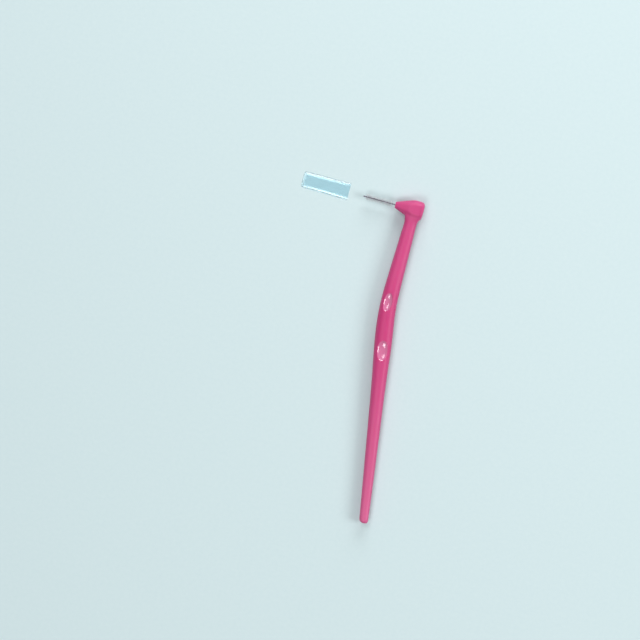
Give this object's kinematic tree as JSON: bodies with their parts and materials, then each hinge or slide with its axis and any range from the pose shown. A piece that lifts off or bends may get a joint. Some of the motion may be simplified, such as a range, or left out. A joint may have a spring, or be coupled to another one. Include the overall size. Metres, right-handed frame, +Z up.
{
  "type": "interdental brush",
  "caption": "Angled interdental brush: slim moulded handle with finger dimples, a short twisted wire with fine nylon bristles square to the neck, and a clear slide-on protective cap.",
  "frame": {"origin": "where the wire's axis crosses the neck's axis, dropped onto the plane of the flats that the brush lies on", "axes": "+X along the wire, from its tip towards the back of the head; +Y from the tail towards the head along the neck; +Z up from the surface that the brush lies on"},
  "size_m": [0.0469, 0.0993, 0.005],
  "materials": {
    "handle_plastic": "injection-moulded polypropylene, satin gloss",
    "coated_wire": "stainless wire with a thin plastic coat",
    "nylon_filament": "drawn nylon monofilament",
    "clear_plastic": "clear moulded plastic, polished"
  },
  "bodies": {
    "brush": {"handle": "handle_plastic", "core_wire": "coated_wire", "bristles": "nylon_filament"},
    "cap": {"protective_cap": "clear_plastic"}
  },
  "joints": [
    {"name": "cap_slide", "type": "slide", "parent": "brush", "child": "cap", "axis": [1, 0, 0], "range_m": [0, 0.0179]}
  ]
}
